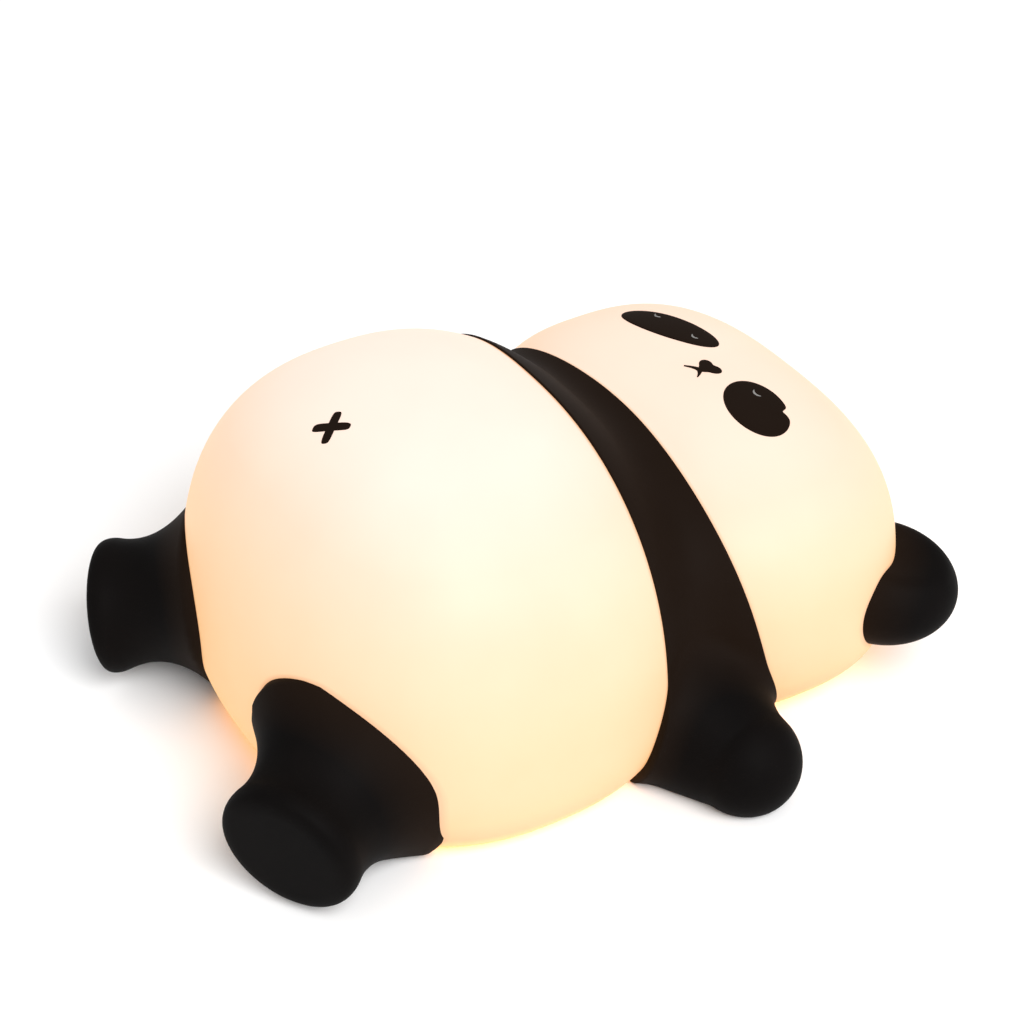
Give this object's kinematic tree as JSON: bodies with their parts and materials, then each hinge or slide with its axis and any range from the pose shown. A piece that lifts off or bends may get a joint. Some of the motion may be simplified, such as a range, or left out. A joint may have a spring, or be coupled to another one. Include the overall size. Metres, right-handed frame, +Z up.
{
  "type": "night light",
  "caption": "Soft silicone night light shaped like a panda lying on its back, with a hollow glowing skin, black limbs and a round rechargeable base in its underside.",
  "frame": {"origin": "on the table, at the centre of the round lamp base and of its non-slip pad", "axes": "+Z up out of the belly, +Y from the feet to the head, +X to the panda's left"},
  "size_m": [0.181, 0.2013, 0.096],
  "materials": {
    "white_silicone": "translucent satin silicone, lit from inside",
    "black_silicone": "matte black silicone",
    "mark_grey": "matte grey silicone",
    "white_abs": "fine moulded texture",
    "grey_abs": "fine moulded texture",
    "black_plastic": "satin",
    "clear_plastic": "clear light pipe",
    "frosted_diffuser": "frosted, milky",
    "pad_rubber": "soft non-slip rubber",
    "foam": "fine closed-cell foam",
    "circuit_board": "green solder mask",
    "led_board_white": "white solder mask",
    "led_phosphor": "yellow phosphor in a white package",
    "chip_black": "moulded epoxy",
    "steel": "bright zinc",
    "battery_wrap": "shrink wrap",
    "lead_red": "silicone wire",
    "lead_black": "silicone wire",
    "brass_can": "plated can"
  },
  "bodies": {
    "lamp": {"body_skin": "white_silicone", "arm_band": "black_silicone", "left_leg": "black_silicone", "right_leg": "black_silicone", "left_ear": "black_silicone", "right_ear": "black_silicone", "left_eye_patch": "black_silicone", "right_eye_patch": "black_silicone", "left_eye_arc": "mark_grey", "right_eye_arcs": "mark_grey", "nose_and_mouth": "black_silicone", "navel_cross": "black_silicone", "base_housing": "white_abs", "bottom_cover": "white_abs", "cover_screws": "steel", "non_slip_pad": "pad_rubber", "control_board": "circuit_board", "board_parts": "chip_black", "board_screws": "steel", "battery_cell": "battery_wrap", "battery_foam": "foam", "battery_lead_plus": "lead_red", "battery_lead_minus": "lead_black", "led_board": "led_board_white", "leds": "led_phosphor", "led_board_screws": "steel", "led_leads": "lead_red", "diffuser_dome": "frosted_diffuser", "usb_shell": "steel", "usb_tongue": "black_plastic", "slide_switch": "steel", "tact_switch": "black_plastic", "charge_light_pipe": "clear_plastic", "tap_sensor": "brass_can"},
    "power_slider": {"power_slider": "grey_abs", "switch_lever": "black_plastic"},
    "timer_button": {"timer_button": "grey_abs", "tact_plunger": "black_plastic"}
  },
  "joints": [
    {"name": "power_slide", "type": "slide", "parent": "lamp", "child": "power_slider", "axis": [0, 1, 0], "range_m": [0, 0.0025]},
    {"name": "timer_press", "type": "slide", "parent": "lamp", "child": "timer_button", "axis": [0, 0, 1], "range_m": [0, 0.0008], "stiffness_N_per_m": 1500}
  ]
}
